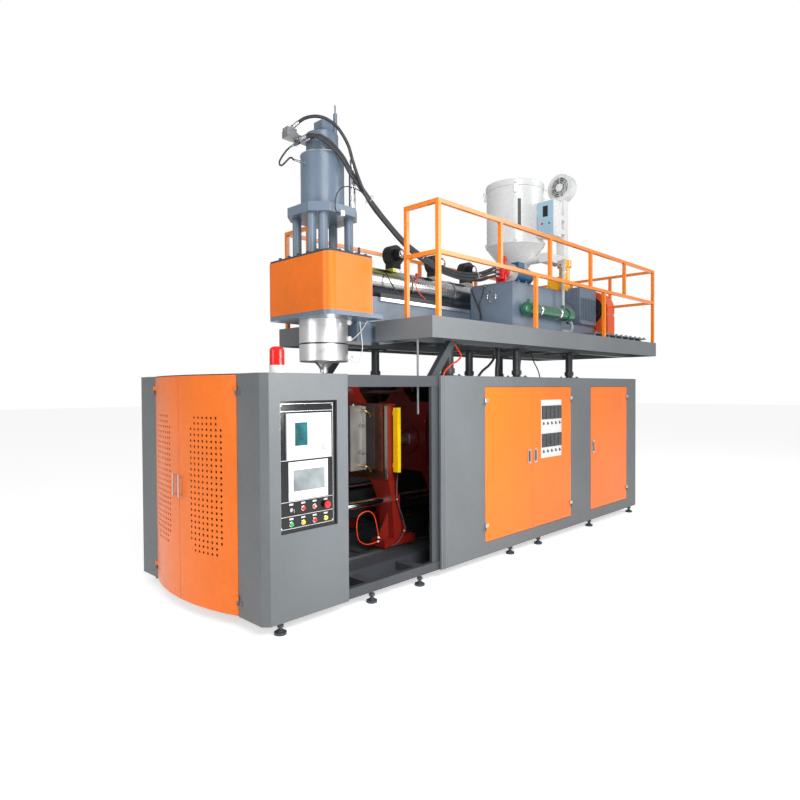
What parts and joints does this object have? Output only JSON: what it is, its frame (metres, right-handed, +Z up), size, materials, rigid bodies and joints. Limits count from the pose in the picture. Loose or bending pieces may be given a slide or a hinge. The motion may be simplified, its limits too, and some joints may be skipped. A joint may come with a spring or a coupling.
{
  "type": "blow moulding machine",
  "caption": "Extrusion blow moulding machine with accumulator head, sliding clamp, curved front doors and a railed extruder platform.",
  "frame": {"origin": "where the vertical axis of the die head meets the floor, on the clamp parting plane", "axes": "+X runs along the machine from the head to the gearbox end, -Y is the operator side, +Z is up"},
  "size_m": [6.9366, 2.036, 4.5269],
  "materials": {
    "frame_dark": "satin",
    "cabinet_grey": "satin",
    "door_orange": "satin",
    "rail_orange": "gloss",
    "cover_orange": "gloss",
    "guard_orange": "gloss",
    "machine_blue_grey": "satin",
    "platen_red": "satin",
    "steel": "brushed",
    "mould_steel": "machined",
    "head_steel": "brushed",
    "chrome": "polished",
    "jacket": "brushed",
    "cast_black": "matt",
    "pulley_iron": "satin",
    "barrel_steel": "satin",
    "valve_metal": "satin",
    "sensor_aluminium": "satin",
    "fan_aluminium": "satin",
    "pump_blue": "satin",
    "cooler_green": "gloss",
    "filter_yellow": "gloss",
    "dryer_white": "gloss",
    "panel_white": "satin",
    "fascia_black": "gloss",
    "button_plastic": "gloss",
    "stop_red": "gloss",
    "beacon_red": "gloss",
    "curtain_yellow": "satin",
    "hose_rubber": "matt",
    "belt_rubber": "matt"
  },
  "bodies": {
    "machine": {"base_frame": "frame_dark", "front_cabinet": "cabinet_grey", "rear_cabinet": "cabinet_grey", "beacon": "beacon_red", "control_fascia": "fascia_black", "panel_displays": "panel_white", "push_buttons": "button_plastic", "deck": "cabinet_grey", "deck_columns": "frame_dark", "guard_rail": "rail_orange", "extruder_frame": "machine_blue_grey", "head_cover": "cover_orange", "head_plate": "frame_dark", "die_head": "head_steel", "head_columns": "machine_blue_grey", "ram_cylinder": "machine_blue_grey", "valve_block": "valve_metal", "position_sensor": "sensor_aluminium", "barrel": "barrel_steel", "barrel_cover": "jacket", "barrel_blowers": "cast_black", "gearbox": "machine_blue_grey", "drive_motor": "machine_blue_grey", "drive_belts": "belt_rubber", "belt_guard": "guard_orange", "hydraulic_tank": "machine_blue_grey", "pump_motor": "pump_blue", "oil_cooler": "cooler_green", "return_filter": "filter_yellow", "dryer_hopper": "dryer_white", "dryer_blower": "dryer_white", "main_hose": "hose_rubber", "second_hose": "hose_rubber", "loop_hose": "hose_rubber", "side_hose": "hose_rubber", "sensor_cable": "hose_rubber"},
    "near_front_door": {"front_door_near": "door_orange"},
    "far_front_door": {"front_door_far": "door_orange"},
    "left_side_door": {"rear_door_left": "door_orange"},
    "right_side_door": {"rear_door_right": "door_orange", "heater_panel": "panel_white"},
    "end_side_door": {"rear_door_end": "door_orange"},
    "sliding_guard": {"guard_door": "frame_dark"},
    "stop_button": {"emergency_stop": "stop_red"},
    "key": {"key_switch": "steel"},
    "moving_half": {"moving_platen": "platen_red", "moving_mould": "mould_steel", "light_curtain": "curtain_yellow"},
    "tie_frame": {"front_platen": "platen_red", "front_mould": "mould_steel", "tie_bars": "chrome", "clamp_cylinder": "platen_red"},
    "blow_pin": {"blow_pin": "steel"},
    "die_pin": {"die_pin": "steel"},
    "head_ram": {"head_ram": "chrome"},
    "screw": {"screw": "steel"},
    "gearbox_pulley": {"gearbox_pulley": "pulley_iron"},
    "motor_pulley": {"motor_pulley": "pulley_iron"},
    "dryer_lid": {"dryer_lid": "dryer_white"},
    "dryer_fan": {"dryer_fan": "fan_aluminium"}
  },
  "joints": [
    {"name": "near_front_door_hinge", "type": "hinge", "parent": "machine", "child": "near_front_door", "pos_m": [-1.346, -0.666, 0.97], "axis": [0, 0, 1], "range_deg": [0, 100]},
    {"name": "far_front_door_hinge", "type": "hinge", "parent": "machine", "child": "far_front_door", "pos_m": [-1.346, 0.666, 0.97], "axis": [0, 0, -1], "range_deg": [0, 100]},
    {"name": "left_side_door_hinge", "type": "hinge", "parent": "machine", "child": "left_side_door", "pos_m": [1.199, -1.009, 0.98], "axis": [0, 0, -1], "range_deg": [0, 105]},
    {"name": "right_side_door_hinge", "type": "hinge", "parent": "machine", "child": "right_side_door", "pos_m": [2.907, -1.009, 0.98], "axis": [0, 0, 1], "range_deg": [0, 105]},
    {"name": "end_side_door_hinge", "type": "hinge", "parent": "machine", "child": "end_side_door", "pos_m": [4.443, -1.009, 0.98], "axis": [0, 0, 1], "range_deg": [0, 105]},
    {"name": "guard_slide", "type": "slide", "parent": "machine", "child": "sliding_guard", "axis": [-1, 0, 0], "range_m": [0, 1]},
    {"name": "stop_press", "type": "slide", "parent": "machine", "child": "stop_button", "axis": [0, 1, 0], "range_m": [0, 0.006], "stiffness_N_per_m": 1500},
    {"name": "key_turn", "type": "hinge", "parent": "machine", "child": "key", "pos_m": [-1.1, -0.984, 0.873], "axis": [0, 1, 0], "range_deg": [0, 90]},
    {"name": "tie_frame_slide", "type": "slide", "parent": "machine", "child": "tie_frame", "axis": [1, 0, 0], "range_m": [-0.15, 0.1508]},
    {"name": "platen_slide", "type": "slide", "parent": "machine", "child": "moving_half", "axis": [1, 0, 0], "range_m": [-0.1508, 0.15]},
    {"name": "blow_pin_lift", "type": "slide", "parent": "machine", "child": "blow_pin", "axis": [0, 0, 1], "range_m": [0, 0.12]},
    {"name": "die_gap", "type": "slide", "parent": "machine", "child": "die_pin", "axis": [0, 0, -1], "range_m": [0, 0.03]},
    {"name": "ram_stroke", "type": "slide", "parent": "machine", "child": "head_ram", "axis": [0, 0, -1], "range_m": [-0.05, 0.25]},
    {"name": "gearbox_pulley_spin", "type": "hinge", "parent": "machine", "child": "gearbox_pulley", "pos_m": [5.118, -0.112, 2.91], "axis": [1, 0, 0], "continuous": true},
    {"name": "motor_pulley_spin", "type": "hinge", "parent": "machine", "child": "motor_pulley", "pos_m": [5.118, 0.51, 2.68], "axis": [1, 0, 0], "continuous": true},
    {"name": "screw_spin", "type": "hinge", "parent": "machine", "child": "screw", "pos_m": [3, 0, 2.83], "axis": [1, 0, 0], "continuous": true},
    {"name": "lid_hinge", "type": "hinge", "parent": "machine", "child": "dryer_lid", "pos_m": [3.644, 0, 4.316], "axis": [0, 1, 0], "range_deg": [0, 85]},
    {"name": "fan_spin", "type": "hinge", "parent": "machine", "child": "dryer_fan", "pos_m": [3.64, -0.48, 4.352], "axis": [1, 0, 0], "continuous": true}
  ],
  "couplings": [
    {"joint": "platen_slide", "follows": "tie_frame_slide", "ratio": -1},
    {"joint": "motor_pulley_spin", "follows": "gearbox_pulley_spin", "ratio": 1.8636},
    {"joint": "screw_spin", "follows": "gearbox_pulley_spin", "ratio": 0.08}
  ]
}
